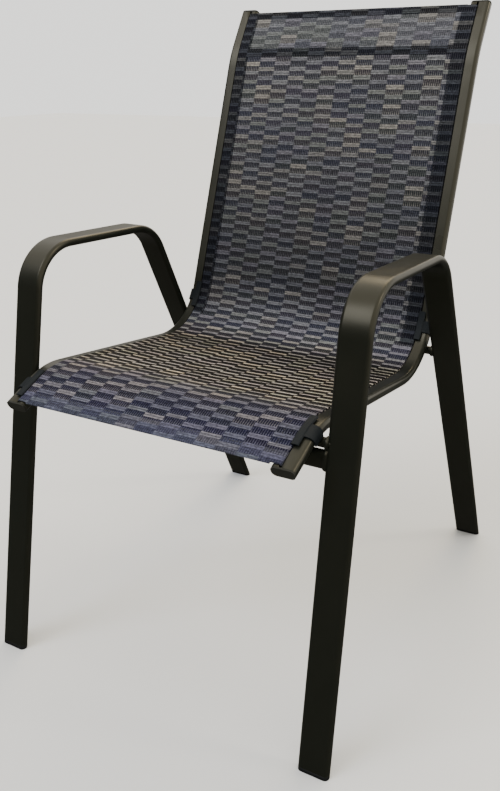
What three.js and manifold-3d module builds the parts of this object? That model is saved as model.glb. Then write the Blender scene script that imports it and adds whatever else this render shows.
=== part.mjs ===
// Stacking patio chair with a mesh sling seat, in millimetres. X is across the chair, +Y points
// to its back and +Z up. The origin is on the floor, under the middle of the chair.
import * as THREE from "three";
import { mergeVertices } from "three/addons/utils/BufferGeometryUtils.js";
import Module from "manifold-3d";

const wasm = await Module();
wasm.setup();

// Side frames: one flat oval tube each, bent into front leg, arm and back leg.
const frameSpread = 515.4; // between the two tubes' middles on the floor
const frameTubeWidth = 43.6;
const frameTubeThickness = 12;
const frameTubeWall = 1.5;
const frontFootReach = 330.3; // ahead of the origin
const rearFootReach = 317.4; // behind the origin
const armFrontSetback = 124.4; // front bend, behind the front foot
const armFrontHeight = 598.3;
const armRearSetback = 273; // rear bend, ahead of the back foot
const armRearHeight = 588.1;
const armFrontRadius = 69;
const armRearRadius = 65;
const frameLeanDegrees = 0.5; // the tops lean towards each other
const frameToeDegrees = 0.35; // the back feet stand closer than the front ones

// Sling rails: flat tubes with a slot along the face that the sling lies on.
const railInset = 48.7; // its middle, inwards from its side frame's middle on the floor
const railSpread = frameSpread - 2 * railInset; // between the two rails' middles
const railWidth = 32;
const railThickness = 15;
const railCornerRadius = 6;
const railWall = 1.5;
const railFrontHeight = 402;
const railOverhang = 61.1; // its front end, ahead of the front leg at that height
const waterfallSetback = 68.2; // bend at the knees, behind the front end
const waterfallRise = 31.5; // and above it
const waterfallRadius = 96;
const hipReach = 109.7; // bend between seat and back, behind the origin
const hipDrop = 11; // and below the front end
const hipRadius = 107;
const shoulderReach = 283.2; // slight bend high on the back
const shoulderRise = 460; // and above the bend at the hips
const shoulderRadius = 199;
const railTopSetback = 45.5; // top end, behind the bend at the shoulders
const railTopRise = 70.5; // and above it

// The slot in each rail, with lips turned in to hold the spline behind them.
const slotInset = 3.5; // slot's middle, inwards from the rail's middle
const slotWidth = 4;
const slotLipLength = 5.5;

// The sling and the splines along its two edges.
const slingThickness = 1.5;
const slingTailThickness = 2.4; // doubled mesh in the slot
const slingFrontMargin = 3; // bare rail ahead of the sling
const slingTopMargin = 6;
const splineDiameter = 4.8;

// Cross members. The front one is a flat tube set on edge, the others are round.
const frontBarHeight = 24;
const frontBarThickness = 12;
const frontBarWall = 1.2;
const frontBarDrop = 19.9; // its middle, below the stubs'
const rearBarDiameter = 12.7;
const rearBarNotch = 0.6; // how deep it is notched to seat the rails
const backBarDiameter = 12.7;
const backBarFromTop = 48; // along the rails
const backBarSetback = 1.2; // behind the rails' middle
const backBarBow = 24; // how far its middle stands back
const backBarBowRadius = 120;
const roundBarWall = 1.5;
const stubDiameter = 13; // short rods welded under the rails, to the front legs
const stubNotch = 1.9; // how deep they are notched to seat the rails
const weldSize = 2.5; // how far a weld spreads

// Plastic pieces.
const railCapThickness = 2.5;
const railTongueLength = 16;
const glideBaseThickness = 5;
const glideTongueHeight = 22;
const clipStripLength = 50;
const clipStripWidth = 10.5;
const clipStripThickness = 2.5;
const clipBandWidth = 20;
const clipBandThickness = 2.3;
const clipBandDrop = 4; // how far its end hangs below the rail's middle
const leftFrontClipPlace = 35; // its middle, along the rail from the front end
const rightFrontClipPlace = 58;
const rearClipPlace = 464; // the same on both rails

const seatGap = 0.3; // between pieces that touch
const slideGap = 0.5; // round a tongue inside its tube

// Facets of the curves.
const quarterTurnFacets = 4;
const bendStepDegrees = 7;

// A centre line in the plane of Y and Z with an arc at each inner corner. Distances along it may
// run past both ends, where it goes on straight.
class TubeRun {
  constructor(corners, radii, stepDegrees) {
    this.pieces = [];
    this.stops = [0];
    this.length = 0;
    let from = corners[0];
    radii.forEach((radius, i) => {
      const corner = corners[i + 1];
      const incoming = corner.clone().sub(corners[i]).normalize();
      const outgoing = corners[i + 2].clone().sub(corner).normalize();
      const turn = Math.atan2(incoming.cross(outgoing), incoming.dot(outgoing));
      const tangentLength = radius * Math.tan(Math.abs(turn) / 2);
      this.addLine(from, corner.clone().addScaledVector(incoming, -tangentLength));
      from = corner.clone().addScaledVector(outgoing, tangentLength);
      this.addArc(incoming, turn, radius, stepDegrees);
    });
    this.addLine(from, corners[corners.length - 1]);
  }

  addLine(from, to) {
    const direction = to.clone().sub(from).normalize();
    this.pieces.push({ start: this.length, from, direction, turn: 0, radius: Infinity });
    this.length += from.distanceTo(to);
    this.end = to;
    this.stops.push(this.length);
  }

  addArc(direction, turn, radius, stepDegrees) {
    this.pieces.push({ start: this.length, from: this.end.clone(), direction, turn, radius });
    const steps = Math.ceil(Math.abs(turn) / THREE.MathUtils.degToRad(stepDegrees));
    const arcLength = radius * Math.abs(turn);
    for (let i = 1; i <= steps; i++) this.stops.push(this.length + (arcLength * i) / steps);
    this.length += arcLength;
  }

  at(distance) {
    const piece = this.pieces.findLast((p) => p.start <= distance) ?? this.pieces[0];
    const along = distance - piece.start;
    const sign = Math.sign(piece.turn);
    const angle = sign === 0 ? 0 : (sign * along) / piece.radius;
    const tangent = piece.direction.clone().rotateAround(new THREE.Vector2(), angle);
    if (sign === 0) {
      return { point: piece.from.clone().addScaledVector(tangent, along), tangent };
    }
    return { point: piece.from.clone().rotateAround(this.bendCentre(piece), angle), tangent };
  }

  bendCentre({ from, direction, turn, radius }) {
    const toCentre = new THREE.Vector2(-direction.y, direction.x);
    return from.clone().addScaledVector(toCentre, Math.sign(turn) * radius);
  }
}

// The stretch of a run between two distances, as a curve for extrusion: the first axis of the
// section points to -X, the second to the upper side of the run.
class Stretch extends THREE.Curve {
  constructor(run, from, to) {
    super();
    const inner = run.stops.filter((s) => s > from + seatGap && s < to - seatGap);
    this.stations = [from, ...inner, to].map((s) => run.at(s));
  }

  get steps() {
    return this.stations.length - 1;
  }

  getPointAt(share, target = new THREE.Vector3()) {
    const { point } = this.stations[Math.round(share * this.steps)];
    return target.set(0, point.x, point.y);
  }

  computeFrenetFrames() {
    const tangents = this.stations.map(({ tangent }) => new THREE.Vector3(0, tangent.x, tangent.y));
    const normals = tangents.map(() => new THREE.Vector3(-1, 0, 0));
    const binormals = tangents.map((t, i) => t.clone().cross(normals[i]));
    return { tangents, normals, binormals };
  }
}

function sweep(shape, run, from, to) {
  const extrudePath = new Stretch(run, from, to);
  return new THREE.ExtrudeGeometry(shape, { steps: extrudePath.steps, extrudePath });
}

// Points of a quarter turn round a middle, from a start angle in quarter turns.
function quarterTurn(x, y, radius, start, clockwise = false) {
  const middle = new THREE.Vector2(x, y);
  return Array.from({ length: quarterTurnFacets + 1 }, (_, i) => {
    const turned = (clockwise ? -i : i) / quarterTurnFacets;
    const arm = new THREE.Vector2(radius, 0);
    return arm.rotateAround(new THREE.Vector2(), (start + turned) * (Math.PI / 2)).add(middle);
  });
}

// Outline of a rounded rectangle, anticlockwise from its right side.
function roundedOutline(width, thickness, radius, middle = 0, level = 0) {
  const reach = width / 2 - radius;
  const rise = thickness / 2 - radius;
  const points = [
    ...quarterTurn(middle + reach, level + rise, radius, 0),
    ...quarterTurn(middle - reach, level + rise, radius, 1),
    ...quarterTurn(middle - reach, level - rise, radius, 2),
    ...quarterTurn(middle + reach, level - rise, radius, 3),
  ];
  return points.filter((point, i) => point.distanceTo(points.at(i - 1)) > seatGap);
}

function ovalOutline(width, thickness) {
  return roundedOutline(width, thickness, thickness / 2);
}

function roundOutline(diameter, middle = 0, level = 0) {
  return roundedOutline(diameter, diameter, diameter / 2, middle, level);
}

function polygon(corners) {
  return new THREE.Shape(corners.map(([x, y]) => new THREE.Vector2(x, y)));
}

// The section of a tube, from the outlines of its outside and its bore.
function tubeShape(outside, bore) {
  const shape = new THREE.Shape(outside);
  shape.holes.push(new THREE.Path(bore));
  return shape;
}

// The same geometry as a solid for joining and cutting, and back.
function toSolid(geometry) {
  const bare = geometry.clone();
  bare.deleteAttribute("normal");
  bare.deleteAttribute("uv");
  const merged = mergeVertices(bare);
  const vertProperties = merged.attributes.position.array;
  const triVerts = new Uint32Array(merged.index.array);
  return new wasm.Manifold(new wasm.Mesh({ numProp: 3, vertProperties, triVerts }));
}

function toGeometry(solid) {
  const { vertProperties, triVerts } = solid.getMesh();
  const geometry = new THREE.BufferGeometry();
  geometry.setAttribute("position", new THREE.BufferAttribute(vertProperties, 3));
  geometry.setIndex(new THREE.BufferAttribute(triVerts, 1));
  const flat = geometry.toNonIndexed();
  flat.computeVertexNormals();
  return flat;
}

function slab(bottom, top, reachFrom, reachTo) {
  const box = new THREE.BoxGeometry(2 * frameSpread, reachTo - reachFrom, top - bottom);
  return toSolid(box.translate(0, (reachFrom + reachTo) / 2, (top + bottom) / 2));
}

const materials = {
  frame: new THREE.MeshStandardMaterial({ color: 0x1b1d19, roughness: 0.45, metalness: 0.55 }),
  rail: new THREE.MeshStandardMaterial({ color: 0x48453a, roughness: 0.42, metalness: 0.6 }),
  mesh: new THREE.MeshStandardMaterial({ color: 0x4a4a55, roughness: 0.9, metalness: 0 }),
  spline: new THREE.MeshStandardMaterial({ color: 0x1c1c1e, roughness: 0.6, metalness: 0 }),
  plug: new THREE.MeshStandardMaterial({ color: 0x24251f, roughness: 0.55, metalness: 0 }),
  glide: new THREE.MeshStandardMaterial({ color: 0x17181a, roughness: 0.6, metalness: 0 }),
  clip: new THREE.MeshStandardMaterial({ color: 0x2c383c, roughness: 0.5, metalness: 0 }),
};

const chair = new THREE.Group();

function addPiece(name, geometry, material) {
  const mesh = new THREE.Mesh(geometry, material);
  mesh.name = name;
  chair.add(mesh);
  return mesh;
}

// A piece modelled on the chair's left side, at -X, and its mirror image on the right.
function addPair(name, geometry, material) {
  addPiece("left_" + name, geometry, material);
  addPiece("right_" + name, geometry, material).scale.x = -1;
}

const frontFoot = new THREE.Vector2(-frontFootReach, 0);
const frontArmEnd = new THREE.Vector2(armFrontSetback - frontFootReach, armFrontHeight);
const rearArmEnd = new THREE.Vector2(rearFootReach - armRearSetback, armRearHeight);
const rearFoot = new THREE.Vector2(rearFootReach, 0);
const frameRun = new TubeRun(
  [frontFoot, frontArmEnd, rearArmEnd, rearFoot],
  [armFrontRadius, armRearRadius],
  bendStepDegrees,
);

// How far back a front leg's middle line is at a level.
function frontLegPlace(level) {
  return (level / armFrontHeight) * armFrontSetback - frontFootReach;
}

const railFront = frontLegPlace(railFrontHeight) - railOverhang;
const hipHeight = railFrontHeight - hipDrop;
const shoulderHeight = hipHeight + shoulderRise;
const railRun = new TubeRun(
  [
    new THREE.Vector2(railFront, railFrontHeight),
    new THREE.Vector2(railFront + waterfallSetback, railFrontHeight + waterfallRise),
    new THREE.Vector2(hipReach, hipHeight),
    new THREE.Vector2(shoulderReach, shoulderHeight),
    new THREE.Vector2(shoulderReach + railTopSetback, shoulderHeight + railTopRise),
  ],
  [waterfallRadius, hipRadius, shoulderRadius],
  bendStepDegrees,
);

// Where a leg's middle line, going up, is at a distance from the middle of one of the rails'
// bends: on its way towards it, or away from it.
function legBesideBend(foot, armEnd, radius, distance, isLeaving) {
  const centre = railRun.bendCentre(railRun.pieces.find((piece) => piece.radius === radius));
  const up = armEnd.clone().sub(foot).normalize();
  const toCentre = centre.sub(foot);
  const halfChord = Math.sqrt(distance ** 2 - toCentre.cross(up) ** 2);
  const climb = toCentre.dot(up) + (isLeaving ? halfChord : -halfChord);
  return foot.clone().addScaledVector(up, climb);
}

const left = -1;
const right = 1;

// A piece of a side frame in its place: leaned, turned in at the back and moved out.
function sweepFrame(shape, side) {
  const overrun = frameTubeWidth; // past the floor, cut off later
  const piece = sweep(shape, frameRun, -overrun, frameRun.length + overrun)
    .rotateY(-side * THREE.MathUtils.degToRad(frameLeanDegrees))
    .rotateZ(side * THREE.MathUtils.degToRad(frameToeDegrees))
    .translate((side * frameSpread) / 2, 0, 0);
  return toSolid(piece);
}

function sweepRail(shape, side, from, to) {
  return sweep(shape, railRun, from, to).translate((side * railSpread) / 2, 0, 0);
}

// Side frames, open at the feet, where the glides close them.
const aboveFloor = slab(glideBaseThickness + seatGap, armFrontHeight * 2, -frameSpread, frameSpread);
const frameBoreWidth = frameTubeWidth - 2 * frameTubeWall;
const frameBoreThickness = frameTubeThickness - 2 * frameTubeWall;
const frameOutside = ovalOutline(frameTubeWidth, frameTubeThickness);
const frameBore = ovalOutline(frameBoreWidth, frameBoreThickness);
const frameTube = sweepFrame(tubeShape(frameOutside, frameBore), left);
addPair("side_frame", toGeometry(frameTube.intersect(aboveFloor)), materials.frame);

// What a bar welded to the side frames and rails is cut back by, so that it fits round the tubes.
const frameRoomShape = new THREE.Shape(
  ovalOutline(frameTubeWidth + 2 * seatGap, frameTubeThickness + 2 * seatGap),
);
const railRoomShape = new THREE.Shape(
  roundedOutline(
    railWidth + 2 * seatGap,
    railThickness + 2 * seatGap,
    railCornerRadius + seatGap,
  ),
);
const rooms = [left, right].flatMap((side) => [
  sweepFrame(frameRoomShape, side),
  toSolid(sweepRail(railRoomShape, side, 0, railRun.length)),
]);

function fitBetween(solid) {
  return rooms.reduce((rest, room) => rest.subtract(room), solid);
}

// Glides: a sole as wide as the tube, and a tongue pushed up into it.
const sole = sweepFrame(new THREE.Shape(frameOutside), left);
const glideTongue = ovalOutline(frameBoreWidth - 2 * seatGap, frameBoreThickness - 2 * seatGap);
const tongue = sweepFrame(new THREE.Shape(glideTongue), left);
for (const [place, from, to] of [
  ["front", -frontFootReach * 2, 0],
  ["rear", 0, rearFootReach * 2],
]) {
  const soleSlab = slab(0, glideBaseThickness, from, to);
  const tongueSlab = slab(glideBaseThickness / 2, glideTongueHeight, from, to);
  const glide = sole.intersect(soleSlab).add(tongue.intersect(tongueSlab));
  addPair(place + "_glide", toGeometry(glide), materials.glide);
}

// Rail section: the outline is broken by the slot, and its two edges turn in as lips.
function slottedRailShape() {
  const outside = roundedOutline(railWidth, railThickness, railCornerRadius);
  const inside = roundedOutline(
    railWidth - 2 * railWall,
    railThickness - 2 * railWall,
    railCornerRadius - railWall,
  );
  const slotRight = slotWidth / 2 - slotInset;
  const slotLeft = -slotWidth / 2 - slotInset;
  const outsideTop = railThickness / 2;
  const insideTop = outsideTop - railWall;
  const lipEnd = outsideTop - slotLipLength;
  // Both outlines start on the right side, so the slot opens after their first corner.
  const corner = quarterTurnFacets + 1;
  const cut = (outline, top, right, lefter) => [
    new THREE.Vector2(lefter, top),
    ...outline.slice(corner),
    ...outline.slice(0, corner),
    new THREE.Vector2(right, top),
  ];
  return new THREE.Shape([
    ...cut(outside, outsideTop, slotRight, slotLeft),
    new THREE.Vector2(slotRight, lipEnd),
    new THREE.Vector2(slotRight + railWall, lipEnd),
    ...cut(inside, insideTop, slotRight + railWall, slotLeft - railWall).reverse(),
    new THREE.Vector2(slotLeft - railWall, lipEnd),
    new THREE.Vector2(slotLeft, lipEnd),
  ]);
}

addPair("sling_rail", sweepRail(slottedRailShape(), left, 0, railRun.length), materials.rail);

// Plugs that close the rail's two ends, each with a tongue beside the slot.
const capShape = new THREE.Shape(roundedOutline(railWidth, railThickness, railCornerRadius));
const tongueRadius = railCornerRadius - railWall - seatGap;
const tongueRight = railWidth / 2 - railWall - slideGap;
const tongueLeft = slotWidth / 2 - slotInset + railWall + slideGap;
const tongueShape = new THREE.Shape(
  roundedOutline(
    tongueRight - tongueLeft,
    railThickness - 2 * (railWall + slideGap),
    tongueRadius,
    (tongueRight + tongueLeft) / 2,
  ),
);
const capNear = seatGap;
const capFar = seatGap + railCapThickness;
const capMiddle = seatGap + railCapThickness / 2;
const railEnd = railRun.length;
for (const [place, capSpan, tongueSpan] of [
  ["front", [-capFar, -capNear], [-capMiddle, railTongueLength]],
  ["top", [railEnd + capNear, railEnd + capFar], [railEnd - railTongueLength, railEnd + capMiddle]],
]) {
  const cap = toSolid(sweepRail(capShape, left, ...capSpan));
  const plug = cap.add(toSolid(sweepRail(tongueShape, left, ...tongueSpan)));
  addPair(place + "_rail_plug", toGeometry(plug), materials.plug);
}

// Sling: a sheet over both rails whose edges dip into the slots and end on the splines.
const slingFrom = slingFrontMargin;
const slingTo = railRun.length - slingTopMargin;
const slotMiddle = railSpread / 2 - slotInset;
const sheetBottom = railThickness / 2 + seatGap;
const sheetTop = sheetBottom + slingThickness;
const tailOutside = slotMiddle + slingTailThickness / 2;
const tailInside = slotMiddle - slingTailThickness / 2;
const lipEnd = railThickness / 2 - slotLipLength;
const slingHalf = [
  [tailInside, sheetBottom],
  [tailInside, lipEnd],
  [tailOutside, lipEnd],
  [tailOutside, sheetTop - slingThickness / 2],
  [tailOutside - slingThickness / 2, sheetTop],
];
const slingMirror = slingHalf.map(([x, y]) => [-x, y]).reverse();
const slingGeometry = sweep(polygon([...slingHalf, ...slingMirror]), railRun, slingFrom, slingTo);
addPiece("sling", slingGeometry, materials.mesh);

const splineLevel = lipEnd - seatGap - splineDiameter / 2;
const splineShape = new THREE.Shape(roundOutline(splineDiameter, -slotInset, splineLevel));
addPair("sling_spline", sweepRail(splineShape, left, slingFrom, slingTo), materials.spline);

// Clips: a strip along the slot, over the sling's edge, and a band round the rail's outer side.
// They are pushed on by hand, so the front two don't sit alike.
const stripBottom = sheetTop + seatGap;
const stripTop = stripBottom + clipStripThickness;
const stripEdge = clipStripWidth / 2;
const bandInside = railThickness / 2 + seatGap;
const bandSide = railWidth / 2 + seatGap;
const bandRadius = railCornerRadius + seatGap;
const stripShape = polygon([
  [-stripEdge, stripBottom],
  [stripEdge, stripBottom],
  [stripEdge, stripTop - clipStripThickness / 2],
  [stripEdge - clipStripThickness / 2, stripTop],
  [clipStripThickness / 2 - stripEdge, stripTop],
  [-stripEdge, stripTop - clipStripThickness / 2],
]);
const bandCornerX = bandSide - bandRadius;
const bandCornerY = bandInside - bandRadius;
const bandOuterRadius = bandRadius + clipBandThickness;
const bandTop = stripTop - clipStripThickness / 2;
const bandShape = new THREE.Shape([
  new THREE.Vector2(stripEdge - clipStripThickness, bandInside),
  ...quarterTurn(bandCornerX, bandCornerY, bandRadius, 1, true),
  new THREE.Vector2(bandSide, -clipBandDrop),
  new THREE.Vector2(bandSide + clipBandThickness, -clipBandDrop),
  ...quarterTurn(bandCornerX, bandCornerY, bandOuterRadius, 0),
  new THREE.Vector2(stripEdge, bandTop),
  new THREE.Vector2(stripEdge - clipStripThickness, bandTop),
]);
for (const [place, side, middle] of [
  ["left_front", left, leftFrontClipPlace],
  ["right_front", right, rightFrontClipPlace],
  ["left_rear", left, rearClipPlace],
  ["right_rear", right, rearClipPlace],
]) {
  const stripSpan = [middle - clipStripLength / 2, middle + clipStripLength / 2];
  const bandSpan = [middle - clipBandWidth / 2, middle + clipBandWidth / 2];
  const strip = toSolid(sweepRail(stripShape, left, ...stripSpan));
  const clip = strip.add(toSolid(sweepRail(bandShape, left, ...bandSpan)));
  addPiece(place + "_rail_clip", toGeometry(clip), materials.clip).scale.x = -side;
}

// How far a side frame's inner edge is from the middle of the chair.
function innerEdge(reach, level) {
  const lean = Math.sin(THREE.MathUtils.degToRad(frameLeanDegrees)) * level;
  const toe = Math.sin(THREE.MathUtils.degToRad(frameToeDegrees)) * reach;
  return (frameSpread - frameTubeWidth) / 2 - lean - toe;
}

// A straight bar along X, whose section's first axis stands up.
function barAlongX(outline, from, to) {
  const shape = new THREE.Shape(outline);
  const bar = new THREE.ExtrudeGeometry(shape, { depth: to - from, bevelEnabled: false });
  return bar.translate(0, 0, from).rotateY(Math.PI / 2);
}

// The bead of weld round a bar of this outline.
function weldBead(outline, place) {
  const bead = new THREE.ExtrudeGeometry(new THREE.Shape(outline), {
    depth: weldSize / 2,
    bevelThickness: weldSize,
    bevelSize: weldSize,
    bevelSegments: 2,
  });
  return bead.translate(0, 0, place - weldSize / 4).rotateY(Math.PI / 2);
}

// A tube from side frame to side frame, with a bead at each end.
function crossTube(width, thickness, wall, reach, level, tilt) {
  const edge = innerEdge(reach, level);
  const far = edge + frameTubeThickness / 2;
  const bore = barAlongX(ovalOutline(width - 2 * wall, thickness - 2 * wall), -2 * far, 2 * far);
  const outline = ovalOutline(width, thickness);
  const welded = [-edge, edge].reduce(
    (solid, place) => solid.add(toSolid(weldBead(outline, place))),
    toSolid(barAlongX(outline, -far, far)),
  );
  const tube = toGeometry(welded.subtract(toSolid(bore)));
  return fitBetween(toSolid(tube.rotateX(-tilt).translate(0, reach, level)));
}

const frontLegTilt = Math.atan2(armFrontSetback, armFrontHeight);
const stubSeat = legBesideBend(
  frontFoot,
  frontArmEnd,
  waterfallRadius,
  waterfallRadius - (railThickness + stubDiameter) / 2 + stubNotch,
  true,
);
const frontBarLevel = stubSeat.y - frontBarDrop;
const frontBarPlace = frontLegPlace(frontBarLevel);
const frontBar = crossTube(
  frontBarHeight,
  frontBarThickness,
  frontBarWall,
  frontBarPlace,
  frontBarLevel,
  frontLegTilt,
);
addPiece("front_crossbar", toGeometry(frontBar), materials.frame);

// The back crossbar also carries the rails, which are welded on it. It joins the back legs where
// they pass close under the rails' bend at the hips.
const rearBarSeat = legBesideBend(
  rearFoot,
  rearArmEnd,
  hipRadius,
  hipRadius + (railThickness + rearBarDiameter) / 2 - rearBarNotch,
  false,
);
const rearBar = crossTube(
  rearBarDiameter,
  rearBarDiameter,
  roundBarWall,
  rearBarSeat.x,
  rearBarSeat.y,
  0,
);
addPiece("rear_crossbar", toGeometry(rearBar), materials.frame);

// Stubs that carry the rails on the front legs, close above the front crossbar's welds.
const weldGrowth = 2 * (weldSize + seatGap);
const frontBarGrown = ovalOutline(frontBarHeight + weldGrowth, frontBarThickness + weldGrowth);
const frontBarRoom = barAlongX(frontBarGrown, -frameSpread, frameSpread)
  .rotateX(-frontLegTilt)
  .translate(0, frontBarPlace, frontBarLevel);
const stubEdge = innerEdge(stubSeat.x, stubSeat.y);
const stubOutline = roundOutline(stubDiameter);
const stubRod = toSolid(barAlongX(stubOutline, -stubEdge - frameTubeThickness / 2, -railSpread / 2));
const stub = toGeometry(stubRod.add(toSolid(weldBead(stubOutline, -stubEdge))));
const fittedStub = fitBetween(toSolid(stub.translate(0, stubSeat.x, stubSeat.y)));
const frontStub = fittedStub.subtract(toSolid(frontBarRoom));
addPair("front_stub", toGeometry(frontStub), materials.frame);

// Spreader between the rails behind the sling's top, bowed back out of the sitter's way.
const spreaderEnd = (railSpread - railWidth) / 2 + railCornerRadius;
const bowEnd = spreaderEnd - backBarBowRadius;
const spreaderRun = new TubeRun(
  [
    new THREE.Vector2(-spreaderEnd, 0),
    new THREE.Vector2(-bowEnd, backBarBow),
    new THREE.Vector2(bowEnd, backBarBow),
    new THREE.Vector2(spreaderEnd, 0),
  ],
  [backBarBowRadius, backBarBowRadius],
  bendStepDegrees,
);
const spreaderBore = roundOutline(backBarDiameter - 2 * roundBarWall);
const spreaderShape = tubeShape(roundOutline(backBarDiameter), spreaderBore);
const spreaderSeat = railRun.at(railRun.length - backBarFromTop);
const spreader = sweep(spreaderShape, spreaderRun, 0, spreaderRun.length)
  .rotateZ(Math.PI / 2)
  .translate(0, 0, backBarSetback)
  .rotateX(Math.atan2(-spreaderSeat.tangent.y, -spreaderSeat.tangent.x))
  .translate(0, spreaderSeat.point.x, spreaderSeat.point.y);
addPiece("back_spreader", toGeometry(fitBetween(toSolid(spreader))), materials.frame);

export default chair;
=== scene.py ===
"""Looks of a stacking patio chair: dark powder-coated tube frame with a woven mesh sling."""

import math

import bmesh
import bpy
from mathutils import Euler, Matrix, Vector


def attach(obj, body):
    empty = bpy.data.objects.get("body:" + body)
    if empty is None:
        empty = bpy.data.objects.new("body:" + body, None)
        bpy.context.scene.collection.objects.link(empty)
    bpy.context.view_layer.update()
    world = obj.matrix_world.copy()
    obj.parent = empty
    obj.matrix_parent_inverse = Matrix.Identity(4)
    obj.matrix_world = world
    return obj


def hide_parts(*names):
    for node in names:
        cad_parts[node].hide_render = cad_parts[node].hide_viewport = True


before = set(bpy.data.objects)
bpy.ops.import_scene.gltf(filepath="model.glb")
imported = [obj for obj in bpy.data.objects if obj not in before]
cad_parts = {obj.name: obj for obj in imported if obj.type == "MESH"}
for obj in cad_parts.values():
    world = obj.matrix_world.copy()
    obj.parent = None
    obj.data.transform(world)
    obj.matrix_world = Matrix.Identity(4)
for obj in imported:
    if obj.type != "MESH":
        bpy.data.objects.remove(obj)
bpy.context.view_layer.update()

# Camera. It stands to the right of the chair's front at about head height and looks a little
# down, so that the near arm crosses the sling and the right rail shows along its whole length.
mm = 0.001
camera_place = Vector((619.0, -1025.8, 831.5)) * mm
camera_turn_degrees = (69.267, 0.381, 28.667)
picture_wide = 500
picture_high = 791
focal_pixels = 813.9
centre_column = 294.7
centre_row = 376.0

camera_data = bpy.data.cameras.new("camera")
camera_data.sensor_width = 36
camera_data.lens = focal_pixels / picture_high * camera_data.sensor_width
camera_data.shift_x = (picture_wide / 2 - centre_column) / picture_high
camera_data.shift_y = (centre_row - picture_high / 2) / picture_high
camera = bpy.data.objects.new("camera", camera_data)
camera.location = camera_place
camera.rotation_euler = Euler([math.radians(turn) for turn in camera_turn_degrees])
bpy.context.collection.objects.link(camera)
bpy.context.scene.camera = camera


# Side frames. Each is one length of flat oval steel tube, bent in two places into front leg, arm
# and back leg, then powder coated. The coat is semi-gloss, with a faint orange peel.
frame_spread = 515.4 * mm
frame_tube_width = 43.6 * mm
frame_tube_thickness = 12 * mm
frame_lean = math.radians(0.5)
frame_toe = math.radians(0.35)
frame_corners = [(-330.3, 0), (-205.9, 598.3), (44.4, 588.1), (317.4, 0)]
frame_radii = [69, 65]
frame_ring_parts = 40
frame_overrun = 20 * mm  # drawn past the foot, and cut off level with the glide
glide_height = 5.3 * mm
bend_facet = math.radians(3)
straight_facet = 60 * mm
merge_reach = 0.001 * mm
left, right = -1, 1


def colour(hex_value):
    """A hex colour as the linear values that a shader needs."""
    parts = [int(hex_value[place : place + 2], 16) / 255 for place in (1, 3, 5)]
    return [p / 12.92 if p <= 0.04045 else ((p + 0.055) / 1.055) ** 2.4 for p in parts] + [1]


def add_node(owner, kind, inputs=(), output=0, **settings):
    """Adds a node to a material or world, with its settings, values and links.

    It returns one of the node's outputs, or the node where it has none.
    """
    tree = owner.node_tree
    node = tree.nodes.new(kind)
    for name, value in settings.items():
        setattr(node, name, value)
    for name, value in dict(inputs).items():
        if isinstance(value, bpy.types.NodeSocket):
            tree.links.new(value, node.inputs[name])
        else:
            node.inputs[name].default_value = value
    return node.outputs[output] if node.outputs else node


def new_material(name):
    material = bpy.data.materials.new(name)
    material.use_nodes = True
    material.node_tree.nodes.clear()
    return material


def bent_line(corners, radii):
    """A line of straights and bends, as (start, direction, length, turn, radius)."""
    points = [Vector(corner) * mm for corner in corners]
    pieces = []
    start = points[0]
    for corner, after, radius in zip(points[1:], points[2:], radii):
        incoming = (corner - start).normalized()
        outgoing = (after - corner).normalized()
        turn = math.atan2(incoming.cross(outgoing), incoming.dot(outgoing))
        tangent = radius * mm * math.tan(abs(turn) / 2)
        bend_start = corner - incoming * tangent
        pieces.append((start, incoming, (bend_start - start).length, 0, 0))
        pieces.append((bend_start, incoming, radius * mm * abs(turn), turn, radius * mm))
        start = corner + outgoing * tangent
    last = points[-1] - start
    pieces.append((start, last.normalized(), last.length, 0, 0))
    return pieces


def station(pieces, distance):
    """Where a section stands at a distance along the line: across, upper side, onward."""
    left_over = distance
    for start, direction, length, turn, radius in pieces:
        if left_over <= length or pieces[-1][0] == start:
            break
        left_over -= length
    if turn:
        angle = math.copysign(left_over / radius, turn)
        centre = start + Vector((-direction.y, direction.x)) * math.copysign(radius, turn)
        spoke = start - centre
        spoke.rotate(Matrix.Rotation(angle, 2))
        place = centre + spoke
        direction = direction.copy()
        direction.rotate(Matrix.Rotation(angle, 2))
    else:
        place = start + direction * left_over
    matrix = Matrix(
        (
            (1, 0, 0, 0),
            (0, -direction.y, direction.x, place.x),
            (0, direction.x, direction.y, place.y),
            (0, 0, 0, 1),
        )
    )
    return matrix


def stops(pieces, begin, end, bend_step, straight_step):
    """Distances along the line from begin to end: close together in bends, wider on straights."""
    found = [begin]
    passed = 0
    least_step = 0.1 * mm
    for _, _, length, turn, radius in pieces:
        step = bend_step * radius if turn else straight_step
        parts = max(1, math.ceil(length / step))
        for part in range(1, parts + 1):
            distance = passed + length * part / parts
            if begin + least_step < distance < end - least_step:
                found.append(distance)
        passed += length
    return found + [end]


def line_length(pieces):
    return sum(piece[2] for piece in pieces)


def draw_along(bm, edges, pieces, distances):
    """Extrudes a section from stop to stop along the line, as a tube is drawn and bent."""
    before = station(pieces, distances[0])
    section = {vert for edge in edges for vert in edge.verts}
    bmesh.ops.transform(bm, matrix=before, verts=list(section))
    for distance in distances[1:]:
        after = station(pieces, distance)
        grown = bmesh.ops.extrude_edge_only(bm, edges=edges)["geom"]
        edges = [item for item in grown if isinstance(item, bmesh.types.BMEdge)]
        edges = [edge for edge in edges if len(edge.link_faces) == 1]
        section = {vert for edge in edges for vert in edge.verts}
        bmesh.ops.transform(bm, matrix=after @ before.inverted(), verts=list(section))
        before = after
    return edges


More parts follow.
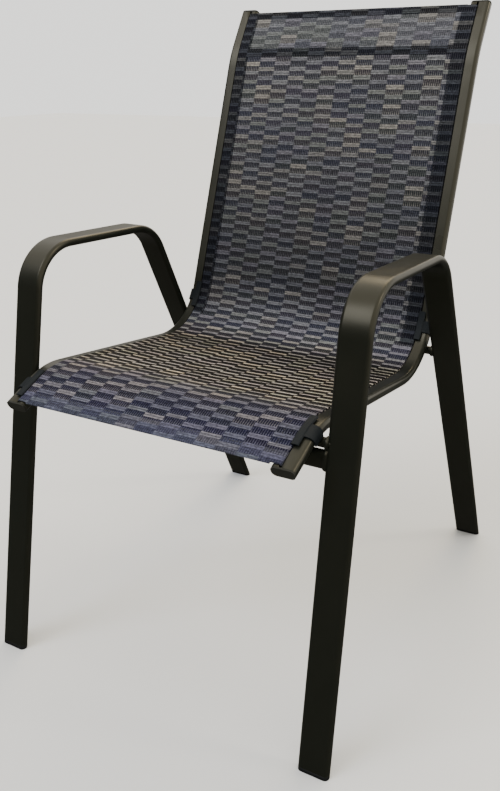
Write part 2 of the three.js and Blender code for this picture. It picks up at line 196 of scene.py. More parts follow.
def rounded_ring(bm, width, thickness, radius, segments):
    """A closed ring with rounded corners: a circle whose quarters are moved apart."""
    half_step = math.pi / segments
    circle = bmesh.ops.create_circle(
        bm,
        segments=segments,
        radius=radius / math.cos(half_step),
        matrix=Matrix.Rotation(half_step, 4, "Z"),
    )
    for vert in circle["verts"]:
        vert.co.x += math.copysign(width / 2 - radius, vert.co.x)
        vert.co.y += math.copysign(thickness / 2 - radius, vert.co.y)
    return list({edge for vert in circle["verts"] for edge in vert.link_edges})


def finish_piece(name, bm, material, nodes, sharp_degrees=40):
    """Makes the object, smooth but for its sharp edges, and puts it in its nodes' place."""
    bmesh.ops.remove_doubles(bm, verts=bm.verts, dist=merge_reach)
    bmesh.ops.recalc_face_normals(bm, faces=bm.faces)
    for face in bm.faces:
        face.smooth = True
    for edge in bm.edges:
        edge.smooth = edge.calc_face_angle(0) < math.radians(sharp_degrees)
    mesh = bpy.data.meshes.new(name)
    bm.to_mesh(mesh)
    bm.free()
    piece = bpy.data.objects.new(name, mesh)
    bpy.context.collection.objects.link(piece)
    mesh.materials.append(material)
    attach(piece, "root")
    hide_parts(*nodes)
    return piece


def flatten_shading(piece):
    """Keeps a drawn tube's flat faces flat in the light, right up to where its edges turn."""
    normals = piece.modifiers.new("flat_faces", "WEIGHTED_NORMAL")
    normals.keep_sharp = True


def powder_coat(name, hex_value, roughness):
    """Polyester powder baked on steel: dark bronze, semi-gloss, a faint orange peel."""
    material = new_material(name)
    place = add_node(material, "ShaderNodeTexCoord", output="Object")
    # The peel has waves of about 1.6 mm, and the gloss drifts over some 70 mm.
    peel = add_node(
        material, "ShaderNodeTexNoise", {"Vector": place, "Scale": 1 / (1.6 * mm), "Detail": 2}
    )
    drift = add_node(
        material, "ShaderNodeTexNoise", {"Vector": place, "Scale": 1 / (70 * mm), "Detail": 3}
    )
    bump = add_node(
        material, "ShaderNodeBump", {"Height": peel, "Strength": 0.12, "Distance": 0.1 * mm}
    )
    gloss = add_node(
        material,
        "ShaderNodeMapRange",
        {"Value": drift, "From Min": 0.3, "From Max": 0.7, "To Min": roughness - 0.05,
         "To Max": roughness + 0.07},
    )
    shader = add_node(
        material,
        "ShaderNodeBsdfPrincipled",
        {"Base Color": colour(hex_value), "Roughness": gloss, "Normal": bump,
         "Specular IOR Level": 0.44, "Specular Tint": colour("#f4ecd0")},
    )
    add_node(material, "ShaderNodeOutputMaterial", {"Surface": shader})
    return material


frame_coat = powder_coat("powder_coated_steel_frame", "#131612", 0.34)
frame_line = bent_line(frame_corners, frame_radii)

for side, label in ((left, "left"), (right, "right")):
    tube = bmesh.new()
    ring = rounded_ring(
        tube, frame_tube_width, frame_tube_thickness, frame_tube_thickness / 2, frame_ring_parts
    )
    distances = stops(
        frame_line,
        -frame_overrun,
        line_length(frame_line) + frame_overrun,
        bend_facet,
        straight_facet,
    )
    draw_along(tube, ring, frame_line, distances)
    lean = Matrix.Rotation(-side * frame_lean, 4, "Y")
    toe = Matrix.Rotation(side * frame_toe, 4, "Z")
    out = Matrix.Translation((side * frame_spread / 2, 0, 0))
    bmesh.ops.transform(tube, matrix=out @ toe @ lean, verts=tube.verts)
    cut = bmesh.ops.bisect_plane(
        tube,
        geom=list(tube.verts) + list(tube.edges) + list(tube.faces),
        plane_co=(0, 0, glide_height),
        plane_no=(0, 0, -1),
        clear_outer=True,
    )
    bmesh.ops.edgeloop_fill(
        tube, edges=[item for item in cut["geom_cut"] if isinstance(item, bmesh.types.BMEdge)]
    )
    piece = finish_piece(
        f"{label}_frame_tube", tube, frame_coat, [f"{label}_side_frame"]
    )
    flatten_shading(piece)


# Crossbars, stubs and the spreader high on the back. They are round and flat steel tube and rod,
# welded to the side frames and rails, and powder coated with them. The model's own solids have
# their weld beads too, and are shown as they are.
same_plane = math.radians(1)


def dressed_copy(node, name, material, sharp_degrees=40):
    """The model's own solid, merged and smoothed, for a piece whose shape is already right."""
    solid = bmesh.new()
    solid.from_mesh(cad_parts[node].data)
    bmesh.ops.remove_doubles(solid, verts=solid.verts, dist=merge_reach)
    bmesh.ops.dissolve_limit(
        solid, angle_limit=same_plane, verts=solid.verts, edges=solid.edges
    )
    return finish_piece(name, solid, material, [node], sharp_degrees)


for node in (
    "front_crossbar",
    "rear_crossbar",
    "left_front_stub",
    "right_front_stub",
    "back_spreader",
):
    dressed_copy(node, f"{node}_tube", frame_coat)


# Glides. Each is a sole of moulded polyethylene as wide as the tube, with a tongue that is pushed
# up into the foot and holds there by friction.
def moulded_plastic(name, hex_value, roughness):
    """Moulded plastic: matt and even, with the fine grain of its mould."""
    material = new_material(name)
    place = add_node(material, "ShaderNodeTexCoord", output="Object")
    # Mould grain is about 0.1 mm. It is drawn at 0.8 mm so that it shows.
    grain = add_node(
        material, "ShaderNodeTexNoise", {"Vector": place, "Scale": 1 / (0.8 * mm), "Detail": 3}
    )
    bump = add_node(
        material, "ShaderNodeBump", {"Height": grain, "Strength": 0.2, "Distance": 0.15 * mm}
    )
    worn = add_node(
        material,
        "ShaderNodeMapRange",
        {"Value": grain, "To Min": roughness - 0.06, "To Max": roughness + 0.1},
    )
    shader = add_node(
        material,
        "ShaderNodeBsdfPrincipled",
        {"Base Color": colour(hex_value), "Roughness": worn, "Normal": bump,
         "Specular IOR Level": 0.18},
    )
    add_node(material, "ShaderNodeOutputMaterial", {"Surface": shader})
    return material


def soften(piece, width):
    """Rounds a piece's edges by a small bevel."""
    bevel = piece.modifiers.new("rounded_edges", "BEVEL")
    bevel.width = width
    bevel.segments = 2
    bevel.limit_method = "ANGLE"
    bevel.angle_limit = math.radians(35)


glide_plastic = moulded_plastic("moulded_polyethylene_glide", "#141516", 0.55)
for node in ("left_front_glide", "right_front_glide", "left_rear_glide", "right_rear_glide"):
    foot = dressed_copy(node, f"{node}_foot", glide_plastic)
    soften(foot, 0.8 * mm)


# Sling rails. Each is a flat tube with a slot rolled into its upper face, bent to the seat and
# back, and coated like the frame. The slot's two lips hold the spline in the sling's edge.
rail_spread = 418 * mm
rail_width = 32 * mm
rail_thickness = 15 * mm
rail_corner_radius = 6 * mm
rail_ring_parts = 32
rail_wall = 1.5 * mm
slot_inset = 3.5 * mm
slot_width = 4 * mm
slot_lip_length = 5.5 * mm
rail_corners = [(-307.8, 402), (-239.6, 433.5), (109.7, 391), (283.2, 851), (328.7, 921.5)]
rail_radii = [96, 107, 199]

rail_coat = powder_coat("powder_coated_rail", "#1b1d19", 0.31)
rail_line = bent_line(rail_corners, rail_radii)
rail_length = line_length(rail_line)
on_top = rail_thickness / 2 - 0.01 * mm

for side, label in ((left, "left"), (right, "right")):
    rail = bmesh.new()
    ring = rounded_ring(rail, rail_width, rail_thickness, rail_corner_radius, rail_ring_parts)
    top = [vert for vert in rail.verts if vert.co.y > on_top]
    top_edge = [edge for edge in ring if all(vert in top for vert in edge.verts)][0]
    # The slot stands towards the sling: inwards on both sides.
    slot_place = -side * slot_inset
    bmesh.ops.subdivide_edges(rail, edges=[top_edge], cuts=2)
    top = sorted(
        (vert for vert in rail.verts if vert.co.y > on_top), key=lambda vert: vert.co.x
    )
    lips = top[1:3]
    for lip, offset in zip(lips, (-slot_width / 2, slot_width / 2)):
        lip.co.x = slot_place + offset
    gap = [edge for edge in rail.edges if set(edge.verts) == set(lips)]
    bmesh.ops.delete(rail, geom=gap, context="EDGES")
    turned_in = bmesh.ops.extrude_vert_indiv(rail, verts=lips)
    bmesh.ops.translate(rail, verts=turned_in["verts"], vec=(0, -slot_lip_length, 0))
    draw_along(
        rail,
        list(rail.edges),
        rail_line,
        stops(rail_line, 0, rail_length, bend_facet, straight_facet),
    )
    bmesh.ops.translate(rail, verts=rail.verts, vec=(side * rail_spread / 2, 0, 0))
    piece = finish_piece(
        f"{label}_rail_tube", rail, rail_coat, [f"{label}_sling_rail"]
    )
    wall = piece.modifiers.new("wall", "SOLIDIFY")
    wall.thickness = rail_wall
    wall.offset = -1
    flatten_shading(piece)


# Plugs in the rails' ends. They are flush oval caps of moulded polyethylene, each pressed in by a
# tongue, and cover the raw ends of the cut tube.
plug_plastic = moulded_plastic("moulded_polyethylene_plug", "#23241f", 0.5)
for node in ("left_front", "right_front", "left_top", "right_top"):
    plug = dressed_copy(f"{node}_rail_plug", f"{node}_end_cap", plug_plastic)
    soften(plug, 0.6 * mm)


# Splines. They are solid cords of extruded PVC in the edge pockets of the sling. They lie in the
# rails behind the slots' lips, too thick to come out, and so hold the sling.
spline_diameter = 4.8 * mm
spline_parts = 12
spline_play = 0.3 * mm
spline_level = rail_thickness / 2 - slot_lip_length - spline_play - spline_diameter / 2
spline_bend_facet = math.radians(5)
sling_begin = 3 * mm
sling_end = rail_length - 6 * mm

spline_vinyl = moulded_plastic("extruded_pvc_spline", "#1c1c1e", 0.55)
for side, label in ((left, "left"), (right, "right")):
    cord = bmesh.new()
    round_end = bmesh.ops.create_circle(
        cord, segments=spline_parts, radius=spline_diameter / 2
    )
    cord_edges = list({edge for vert in round_end["verts"] for edge in vert.link_edges})
    bmesh.ops.translate(
        cord, verts=round_end["verts"], vec=(-side * slot_inset, spline_level, 0)
    )
    end_edges = draw_along(
        cord,
        cord_edges,
        rail_line,
        stops(rail_line, sling_begin, sling_end, spline_bend_facet, straight_facet),
    )
    for rim in (cord_edges, end_edges):
        bmesh.ops.edgeloop_fill(cord, edges=rim)
    bmesh.ops.translate(cord, verts=cord.verts, vec=(side * rail_spread / 2, 0, 0))
    finish_piece(f"{label}_spline_cord", cord, spline_vinyl, [f"{label}_sling_spline"])


# Sling. One sheet of open woven mesh in PVC-coated polyester yarn: columns of dark blocks, where
# the warp lies on top, with pale bands of weft between them. Its side edges are folded over and
# sewn round the splines, and both ends have a sewn hem.
sling_thickness = 1.1 * mm
sling_level = 8.7 * mm
slot_middle = rail_spread / 2 - slot_inset
tuck_radius = 1.4 * mm
tuck_depth = 6.2 * mm
side_hem_width = 22 * mm
top_hem_depth = 69 * mm
top_seam_width = 14 * mm
top_edge_width = 13 * mm
front_hem_depth = 19 * mm
fold_radius = 1.2 * mm
fold_length = fold_radius * math.pi
seat_sag = 5 * mm
back_sag = 4 * mm
seat_hollow = (50 * mm, 395 * mm)
back_hollow = (420 * mm, 880 * mm)
hem_edge = slot_middle - side_hem_width
hem_begin = 430 * mm
rail_face = rail_spread / 2 - rail_width / 2
flap_clearance = 2 * mm
cloth_bend_facet = math.radians(4)
cloth_facet = 12 * mm
middle_parts, edge_parts, flap_parts = 16, 3, 6
block_width = 30.3 * mm
block_height = 15.7 * mm
warp_pitch = block_width / 9  # the real one is 2.5 mm, too fine to show from a step away
weft_pitch = 1.9 * mm


def give(x, distance):
    """How far the stretched cloth lies below its edges: a shallow hollow in seat and back."""
    depth = 0
    for (low, high), most in ((seat_hollow, seat_sag), (back_hollow, back_sag)):
        if low < distance < high:
            share = (distance - low) / (high - low)
            depth += most * math.sin(math.pi * share) ** 2
    return depth * max(0, 1 - (x / slot_middle) ** 2)


def cloth_place(x, distance, level=sling_level):
    """A place on the cloth, turned so that its X is across, Y up from it and Z along it."""
    return station(rail_line, distance) @ Matrix.Translation((x, level - give(x, distance), 0))


def tucked_half():
    """From the sling's middle to its edge in the slot, as points of a section."""
    flat_reach = slot_middle - tuck_radius
    reaches = [hem_edge * part / middle_parts for part in range(middle_parts + 1)]
    reaches += [
        hem_edge + (flat_reach - hem_edge) * part / edge_parts
        for part in range(1, edge_parts + 1)
    ]
    points = [Vector((reach, sling_level, 0)) for reach in reaches]
    for turn in (30, 60, 90):
        angle = math.radians(turn)
        points.append(
            Vector((
                flat_reach + tuck_radius * math.sin(angle),
                sling_level - tuck_radius * (1 - math.cos(angle)),
                0,
            ))
        )
    points.append(Vector((slot_middle, sling_level - tuck_depth, 0)))
    return points


sling_mesh = bmesh.new()
across = sling_mesh.verts.layers.float.new("across")
along = sling_mesh.verts.layers.float.new("along")


def weave_along(edges, places):
    """Extrudes the sheet through placed sections, each with its length along the cloth."""
    before = places[0][0]
    for matrix, length in places[1:]:
        grown = bmesh.ops.extrude_edge_only(sling_mesh, edges=edges)["geom"]
        verts = [item for item in grown if isinstance(item, bmesh.types.BMVert)]
        edges = [
            item
            for item in grown
            if isinstance(item, bmesh.types.BMEdge) and all(vert in verts for vert in item.verts)
        ]
        bmesh.ops.transform(sling_mesh, matrix=matrix @ before.inverted(), verts=verts)
        for vert in verts:
            vert[along] = length
        before = matrix
    return edges


def start_cloth(points, matrix, length):
    """The first section of the sheet, which knows how far across and along the cloth it is."""
    verts = [sling_mesh.verts.new(point) for point in points]
    edges = [sling_mesh.edges.new(pair) for pair in zip(verts, verts[1:])]
    reach = [0]
    for first, second in zip(points, points[1:]):
        reach.append(reach[-1] + (second - first).length)
    middle = reach[-1] / 2 if abs(points[0].x + points[-1].x) < mm else -points[0].x
    for vert, distance in zip(verts, reach):
        vert[across] = distance - middle
        vert[along] = length
        vert.co = matrix @ vert.co
    return edges


def folded(distance, turn_degrees):
    """A section turned over at the sheet's end, about the fold's own middle."""
    fold = Matrix.Translation((0, sling_level - fold_radius, 0))
    turn = Matrix.Rotation(math.radians(turn_degrees), 4, "X")
    return station(rail_line, distance) @ fold @ turn @ fold.inverted()


top_seam_end = sling_end - top_hem_depth
top_seam_begin = top_seam_end - top_seam_width
front_seam = sling_begin + front_hem_depth
top_edge = sling_end - top_edge_width
seam_stops = [front_seam, top_seam_begin, top_seam_end, top_edge]
seam_clearance = 2 * mm
sheet_stops = [
    stop
    for stop in stops(rail_line, sling_begin, sling_end, cloth_bend_facet, cloth_facet)
    if all(abs(stop - seam) > seam_clearance for seam in seam_stops)
]
sheet_places = [(station(rail_line, stop), stop) for stop in sorted(sheet_stops + seam_stops)]
half = tucked_half()
whole = [Vector((-point.x, point.y, 0)) for point in reversed(half[1:])] + half
first_edges = start_cloth(whole, *sheet_places[0])
last_edges = weave_along(first_edges, sheet_places)

# The hems turn over at each end and come back on the underside, between the rails.
flap_reach = rail_face - flap_clearance
for edges, end, depth, way in (
    (last_edges, sling_end, top_hem_depth, 1),
    (first_edges, sling_begin, front_hem_depth, -1),
):
    flap = [edge for edge in edges if all(abs(vert.co.x) < flap_reach for vert in edge.verts)]
    turned = [(folded(end, 0), end)]
    for turn in (45, 90, 135, 180):
        turned.append((folded(end, way * turn), end + way * fold_radius * math.radians(turn)))
    for part in range(1, flap_parts + 1):
        back = depth * part / flap_parts
        turned.append((folded(end - way * back, way * 180), end + way * (fold_length + back)))
    weave_along(flap, turned)

for vert in sling_mesh.verts:
    distance = vert[along]
    if sling_begin <= distance <= sling_end:
        upper = station(rail_line, distance).to_3x3() @ Vector((0, 1, 0))
        vert.co -= upper * give(vert.co.x, distance)

# Each side edge is folded over: a second layer shows beside the rail from below. It drops a
# little towards the rail.
for side in (left, right):
    points = [
        Vector((side * hem_edge, sling_level - 1.3 * mm, 0)),
        Vector((side * (rail_face - 0.6 * mm), sling_level - 1.6 * mm, 0)),
    ]
    strip_places = [place for place in sheet_places if front_seam < place[1] < top_seam_begin]
    strip = start_cloth(points, *strip_places[0])
    weave_along(strip, strip_places)

# The yarn pattern is laid out in blocks, counted across and along the cloth. The sling's middle
# and its front end start high enough that no count is negative.
first_column = 20.2
first_row = 5
blocks_map = sling_mesh.loops.layers.uv.new("cloth_blocks")
single, doubled, seamed = range(3)
for face in sling_mesh.faces:
    for loop in face.loops:
        loop[blocks_map].uv = (
            loop.vert[across] / block_width + first_column,
            loop.vert[along] / block_height + first_row,
        )
    x = sum(abs(vert[across]) for vert in face.verts) / len(face.verts)
    y = sum(vert[along] for vert in face.verts) / len(face.verts)
    at_top_seam = top_seam_begin < y < top_seam_end or top_edge < y < sling_end
    if at_top_seam or (x > hem_edge and hem_begin < y < sling_end):
        face.material_index = seamed
    elif y > top_seam_end or y < front_seam:
        face.material_index = doubled
    else:
        face.material_index = single

column_slip = 0.16  # of a row, each column by its own lot
height_lot = 0.14  # of a row, each dark block by its own lot
wave_stripe = 2 * math.pi / 20  # one stripe of the wave texture at a scale of 1


def woven_mesh(name, openness, backing, shade, tint):
    """Coated polyester yarn, woven open: matt, and with another layer of cloth in its gaps."""
    material = new_material(name)
    cloth = add_node(material, "ShaderNodeUVMap", uv_map="cloth_blocks")
    cloth_parts = add_node(material, "ShaderNodeSeparateXYZ", {"Vector": cloth}).node

    # Each column of blocks is half a block off its neighbour, and slips a little more.
    column = add_node(
        material, "ShaderNodeMath", {0: cloth_parts.outputs["X"]}, operation="FLOOR"
    )
    staggered = add_node(
        material,
        "ShaderNodeMath",
        {0: column, 1: 0.5, 2: cloth_parts.outputs["Y"]},
        operation="MULTIPLY_ADD",
    )
    slip = add_node(material, "ShaderNodeTexWhiteNoise", {"W": column}, noise_dimensions="1D")
    slipped = add_node(
        material,
        "ShaderNodeMath",
        {0: slip, 1: column_slip, 2: staggered},
        operation="MULTIPLY_ADD",
    )
    place = add_node(
        material, "ShaderNodeCombineXYZ", {"X": cloth_parts.outputs["X"], "Y": slipped}
    )
    block = add_node(material, "ShaderNodeVectorMath", {0: place}, operation="FLOOR")
    within = add_node(material, "ShaderNodeVectorMath", {0: place}, operation="FRACTION")
    part = add_node(material, "ShaderNodeSeparateXYZ", {"Vector": within}).node
    lots = add_node(
        material, "ShaderNodeTexWhiteNoise", {"Vector": block}, "Color", noise_dimensions="2D"
    )
    lot = add_node(material, "ShaderNodeSeparateColor", {"Color": lots}).node

    # Both yarns change tone along the cloth, as painted light and shade: a painted cool light
    # makes the front bluest, painted light from above makes the seat's weft crowns warm, harsh
    # and pale, with painted shade making the dark yarn black between them, and the lower back is
    # painted darker.
    along_share = add_node(
        material,
        "ShaderNodeMapRange",
        {"Value": cloth_parts.outputs["Y"], "From Min": first_row,
         "From Max": first_row + rail_length / block_height},
    )
    tones = []
    for stops_and_tones in (
        {0: "#7474aa", 0.08: "#66668e", 0.145: "#2c2820", 0.36: "#2c2820", 0.42: "#cecfcc",
         0.53: "#868779", 0.8: "#d0d1c4", 1: "#bfbfb2"},
        {0: "#989bb0", 0.08: "#9b9aa7", 0.145: "#fff4e4", 0.25: "#fff4e4", 0.36: "#cec5bb",
         0.42: "#c4c5cb", 0.53: "#83858b", 0.8: "#a9aaad", 1: "#c4c4c4"},
        {0: "#cccccc", 0.08: "#c2c2c2", 0.145: "#5c5c5c", 0.36: "#5c5c5c", 0.42: "#a8a8a8",
         0.53: "#c4c4c4", 0.8: "#cccccc", 1: "#cccccc"},
        {0: "#c2c2c2", 0.08: "#c2c2c2", 0.145: "#dadada", 0.36: "#dadada", 0.42: "#c2c2c2"},
    ):
        tone = add_node(material, "ShaderNodeValToRGB", {"Fac": along_share})
        ramp = tone.node.color_ramp
        for index, (stop, hex_value) in enumerate(stops_and_tones.items()):
            element = ramp.elements[index] if index < 2 else ramp.elements.new(stop)
            element.position = stop
            element.color = colour(hex_value)
        tones.append(tone)
    dark_painted_light, pale_painted_light, gap_share, least_height = tones

    # A dark block fills a little over half of its row, and more on the seat, where the larger
    # dark share is painted shade.
    dark_height = add_node(
        material,
        "ShaderNodeMath",
        {0: lot.outputs["Red"], 1: height_lot, 2: least_height},
        operation="MULTIPLY_ADD",
    )
    is_dark = add_node(
        material, "ShaderNodeMath", {0: part.outputs["Y"], 1: dark_height}, operation="LESS_THAN"
    )

    # Warp pairs stand side by side in the dark blocks. In each pale band between them two bright
    # lines of weft lie across.
    warp = add_node(
        material,
        "ShaderNodeTexWave",
        {"Vector": cloth, "Scale": wave_stripe * block_width / warp_pitch},
        "Fac",
        bands_direction="X",
    )
    gap = add_node(
        material, "ShaderNodeMapRange", {"Value": warp, "From Min": 0.35, "From Max": 0.75}
    )
    weft = add_node(
        material,
        "ShaderNodeTexWave",
        {"Vector": cloth, "Scale": wave_stripe * block_height / weft_pitch},
        "Fac",
        bands_direction="Y",
    )
    band = add_node(
        material,
        "ShaderNodeMapRange",
        {"Value": part.outputs["Y"], "From Min": dark_height, "To Min": -1.0},
    )
    from_middle = add_node(material, "ShaderNodeMath", {0: band}, operation="ABSOLUTE")
    bright_line = add_node(
        material, "ShaderNodeMath", {0: from_middle, 1: 0.66, 2: 0.3}, operation="COMPARE"
    )

    dark_yarn = add_node(material, "ShaderNodeValToRGB", {"Fac": lot.outputs["Green"]})
    pale_yarn = add_node(material, "ShaderNodeValToRGB", {"Fac": lot.outputs["Blue"]})
    for yarn, dyes in (
        (
            dark_yarn,
            {0: "#35384f", 0.3: "#393a4a", 0.55: "#3c3848", 0.75: "#373c46", 0.87: "#3d3a50"},
        ),
        (
            pale_yarn,
            {0: "#a9aab0", 0.22: "#babbbd", 0.45: "#c4c1bb", 0.62: "#b6b3ba", 0.76: "#b6b9b3",
             0.9: "#dad4c8"},
        ),
    ):
        ramp = yarn.node.color_ramp
        ramp.interpolation = "CONSTANT"
        for index, (stop, dye) in enumerate(dyes.items()):
            element = ramp.elements[index] if index < 2 else ramp.elements.new(stop)
            element.position = stop
            element.color = colour(dye)

    # Long soft streaks across the cloth vary the tone, as space-dyed yarn does.
    streak_place = add_node(
        material, "ShaderNodeMapping", {"Vector": cloth, "Scale": (1.6, 11, 1)}
    )
    streak = add_node(material, "ShaderNodeTexNoise", {"Vector": streak_place, "Scale": 1})
    # Each crossing of two yarns catches the light a little differently.
    crossings = add_node(
        material, "ShaderNodeTexNoise", {"Vector": cloth, "Scale": 7, "Detail": 1}
    )
    sparkle = add_node(
        material,
        "ShaderNodeMapRange",
        {"Value": crossings, "From Min": 0.3, "From Max": 0.7, "To Min": 0.62, "To Max": 1.38},
    )
    # Each yarn's own colour is multiplied by the painted light and shade along the cloth.
    lit_dark_yarn, lit_pale_yarn = [
        add_node(
            material,
            "ShaderNodeMix",
            {0: 1.0, 6: yarn, 7: tone},
            output=2,
            data_type="RGBA",
            blend_type="MULTIPLY",
        )
        for yarn, tone in ((dark_yarn, dark_painted_light), (pale_yarn, pale_painted_light))
    ]
    # The gaps between the warp pairs are plain at a dark block's lower edge, and fade above it.
    teeth = add_node(
        material,
        "ShaderNodeMapRange",
        {"Value": part.outputs["Y"], "From Min": 0.14, "From Max": 0.34, "To Min": 1.0,
         "To Max": 0.52},
    )
    toothed = add_node(
        material, "ShaderNodeMath", {0: gap_share, 1: teeth}, operation="MULTIPLY"
    )
    seen_gap = add_node(material, "ShaderNodeMath", {0: gap, 1: toothed}, operation="MULTIPLY")
    dark_cloth = add_node(
        material,
        "ShaderNodeMix",
        {0: seen_gap, 6: lit_dark_yarn, 7: lit_pale_yarn},
        output=2,
        data_type="RGBA",
    )
    # Between a band's bright lines some of the dark yarn shows, least of all on the seat.
    shadow_share = add_node(
        material, "ShaderNodeMath", {0: gap_share, 1: 0.6}, operation="MULTIPLY"
    )
    between = add_node(
        material,
        "ShaderNodeMix",
        {0: shadow_share, 6: lit_pale_yarn, 7: lit_dark_yarn},
        output=2,
        data_type="RGBA",
    )
    pale_cloth = add_node(
        material,
        "ShaderNodeMix",
        {0: bright_line, 6: between, 7: lit_pale_yarn},
        output=2,
        data_type="RGBA",
    )
    patched = add_node(
        material,
        "ShaderNodeMix",
        {0: is_dark, 6: pale_cloth, 7: dark_cloth},
        output=2,
        data_type="RGBA",
    )
    # Where the cloth is doubled, the pale yarn of the other layer shows through.
    backed = add_node(
        material,
        "ShaderNodeMix",
        {0: backing, 6: patched, 7: lit_pale_yarn},
        output=2,
        data_type="RGBA",
    )
    tinted = add_node(
        material,
        "ShaderNodeMix",
        {0: 1.0, 6: backed, 7: colour(tint)},
        output=2,
        data_type="RGBA",
        blend_type="MULTIPLY",
    )
    brightness = add_node(
        material,
        "ShaderNodeMapRange",
        {"Value": streak, "From Min": 0.25, "From Max": 0.75, "To Min": 0.65 * shade,
         "To Max": 1.35 * shade},
    )
    light_share = add_node(
        material, "ShaderNodeMath", {0: brightness, 1: sparkle}, operation="MULTIPLY"
    )
    finished = add_node(
        material,
        "ShaderNodeMix",
        {0: 1.0, 6: tinted, 7: light_share},
        output=2,
        data_type="RGBA",
        blend_type="MULTIPLY",
    )
    relief = add_node(material, "ShaderNodeMath", {0: warp, 1: weft}, operation="ADD")
    bump = add_node(
        material, "ShaderNodeBump", {"Height": relief, "Strength": 0.35, "Distance": 0.3 * mm}
    )
    shader = add_node(
        material,
        "ShaderNodeBsdfPrincipled",
        {"Base Color": finished, "Roughness": 0.65, "Specular IOR Level": 0.04, "Normal": bump},
    )
    if openness:
        # Daylight shows between the yarns where the cloth is single.
        crossing = add_node(
            material, "ShaderNodeMath", {0: warp, 1: weft}, operation="MULTIPLY"
        )
        hole = add_node(
            material, "ShaderNodeMath", {0: crossing, 1: 0.55}, operation="GREATER_THAN"
        )
        cover = add_node(
            material, "ShaderNodeMath", {0: hole, 1: -openness, 2: 1.0}, operation="MULTIPLY_ADD"
        )
        material.node_tree.links.new(cover, shader.node.inputs["Alpha"])
    add_node(material, "ShaderNodeOutputMaterial", {"Surface": shader})
    return material


single_mesh = woven_mesh("woven_polyester_mesh", 0.12, 0, 0.75, "#ffffff")
sling_piece = finish_piece("sling_cloth", sling_mesh, single_mesh, ["sling"], 80)
for material in (
    woven_mesh("woven_polyester_mesh_doubled", 0, 0.32, 0.86, "#d8dae0"),
    woven_mesh("woven_polyester_mesh_hem", 0, 0, 0.42, "#b4bac6"),
):
    sling_piece.data.materials.append(material)
thickness = sling_piece.modifiers.new("yarn_thickness", "SOLIDIFY")
thickness.thickness = sling_thickness
thickness.offset = 0


# Seams: lock stitches of bonded polyester thread, two rows across the top hem, one across the
# front hem and one down each side hem.
thread_diameter = 0.9 * mm
stitch_length = 3.6 * mm
stitch_pitch = 5 * mm
stitches = bmesh.new()
seam_inset = 2.5 * mm
across_reach = hem_edge + 4 * mm
seam_places = []
for distance in (front_seam - seam_inset, top_seam_begin + seam_inset, top_seam_end - seam_inset):
    count = int(2 * across_reach / stitch_pitch)
    for index in range(count + 1):
        seam_places.append(((index - count / 2) * stitch_pitch, distance, 0))
side_count = int((top_seam_begin - front_seam) / stitch_pitch)
for side in (left, right):
    for index in range(1, side_count):
        distance = front_seam + index * stitch_pitch
        seam_places.append((side * (hem_edge + seam_inset), distance, math.radians(90)))
one_stitch = bmesh.new()
bmesh.ops.create_uvsphere(
    one_stitch,
    u_segments=6,
    v_segments=4,
    radius=0.5,
    matrix=Matrix.Diagonal((stitch_length, thread_diameter, thread_diameter, 1)),
)
stitch_mesh = bpy.data.meshes.new("one_stitch")
for x, distance, turn in seam_places:
    place = cloth_place(x, distance, sling_level + sling_thickness / 2)
    place @= Matrix.Rotation(turn, 4, "Y")
    bmesh.ops.transform(one_stitch, matrix=place, verts=one_stitch.verts)
    one_stitch.to_mesh(stitch_mesh)
    stitches.from_mesh(stitch_mesh)
    bmesh.ops.transform(one_stitch, matrix=place.inverted(), verts=one_stitch.verts)
one_stitch.free()
bpy.data.meshes.remove(stitch_mesh)
thread = new_material("bonded_polyester_thread")
thread_place = add_node(thread, "ShaderNodeTexCoord", output="Object")
ply = add_node(thread, "ShaderNodeTexNoise", {"Vector": thread_place, "Scale": 1 / (0.7 * mm)})
thread_bump = add_node(
    thread, "ShaderNodeBump", {"Height": ply, "Strength": 0.4, "Distance": 0.2 * mm}
)
thread_shader = add_node(
    thread,
    "ShaderNodeBsdfPrincipled",
    {"Base Color": colour("#1d1d24"), "Roughness": 0.5, "Normal": thread_bump},
)
add_node(thread, "ShaderNodeOutputMaterial", {"Surface": thread_shader})
seams = finish_piece("sling_seam_stitches", stitches, thread, ["sling"])


# Clips: moulded nylon strips that cover the slot beside the legs, each with a band that hooks
# over the rail's outer side.
clip_nylon = moulded_plastic("moulded_nylon_clip", "#10161a", 0.6)
for node in ("left_front", "right_front", "left_rear", "right_rear"):
    clip = dressed_copy(f"{node}_rail_clip", f"{node}_slot_clip", clip_nylon)
    soften(clip, 0.5 * mm)


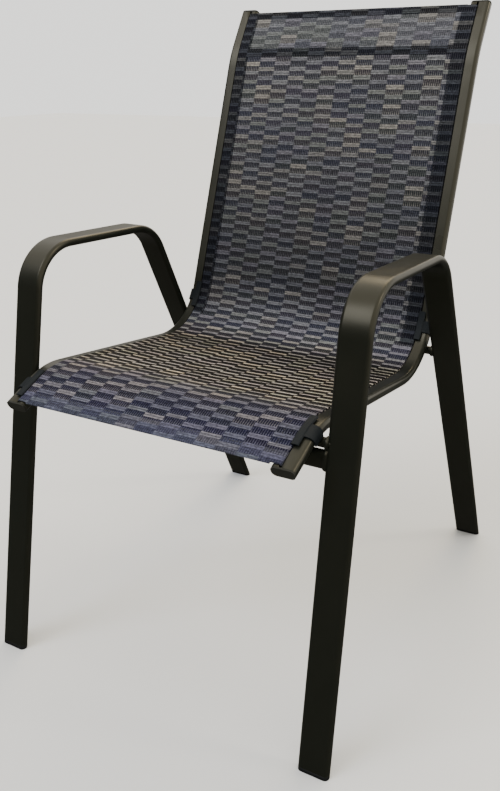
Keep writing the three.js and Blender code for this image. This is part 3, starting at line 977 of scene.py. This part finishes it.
# Floor and light: a pale floor that fades into a pale wall, and soft studio light from above. The
# coat gets its sheen from the lit ceiling and wall.
floor_reach = 12
floor_pale = new_material("pale_floor")
floor_shader = add_node(
    floor_pale, "ShaderNodeBsdfPrincipled", {"Base Color": colour("#e4e6e7"), "Roughness": 0.9}
)
add_node(floor_pale, "ShaderNodeOutputMaterial", {"Surface": floor_shader})
floor_mesh = bmesh.new()
bmesh.ops.create_grid(floor_mesh, x_segments=1, y_segments=1, size=floor_reach)
floor_data = bpy.data.meshes.new("floor")
floor_mesh.to_mesh(floor_data)
floor_mesh.free()
floor = bpy.data.objects.new("floor", floor_data)
floor_data.materials.append(floor_pale)
bpy.context.collection.objects.link(floor)
floor.visible_glossy = False  # the legs stand on a dark floor, which their coat mirrors

world = bpy.data.worlds.new("studio")
world.use_nodes = True
world.node_tree.nodes.clear()
seen = add_node(world, "ShaderNodeLightPath", output="Is Camera Ray")
# The ceiling and the walls behind the chair and on its right are lit, and the room in front of it
# and on its left is dim. Only reflections and soft light see this: the camera sees the backdrop.
lit_side = (0.32, 0.3, 1)
dim, bright = 0.12, 1.7
look = add_node(world, "ShaderNodeTexCoord", output="Generated")
towards = add_node(
    world, "ShaderNodeVectorMath", {0: look, 1: lit_side}, "Value", operation="DOT_PRODUCT"
)
lit = add_node(
    world,
    "ShaderNodeMapRange",
    {"Value": towards, "From Min": 0.12, "From Max": 0.4, "To Min": dim, "To Max": bright},
)
room = add_node(world, "ShaderNodeBackground", {"Color": colour("#fbf6ec"), "Strength": lit})
backdrop = add_node(world, "ShaderNodeBackground", {"Color": colour("#fffefa"), "Strength": 1.58})
studio = add_node(world, "ShaderNodeMixShader", {0: seen, 1: room, 2: backdrop})
add_node(world, "ShaderNodeOutputWorld", {"Surface": studio})
bpy.context.scene.world = world


def soft_light(name, direction, width_degrees, power, hex_value):
    """A wide soft light, far away, that shines in a direction."""
    data = bpy.data.lights.new(name, "SUN")
    data.angle = math.radians(width_degrees)
    data.energy = power
    data.color = colour(hex_value)[:3]
    light = bpy.data.objects.new(name, data)
    light.rotation_euler = Vector(direction).to_track_quat("-Z", "Y").to_euler()
    bpy.context.collection.objects.link(light)


# A warm box stands above and behind, and a cool key above and in front. The narrow strip on the
# right draws the thin bright line along the rails' outer edges.
soft_light("back_box", (0.12, -0.71, -0.69), 34, 1.08, "#ffe6b8")
soft_light("front_key", (0.38, 0.57, -0.73), 30, 1.15, "#eef2ff")
soft_light("side_strip", (-0.74, -0.27, -0.62), 10, 0.45, "#fff4e2")
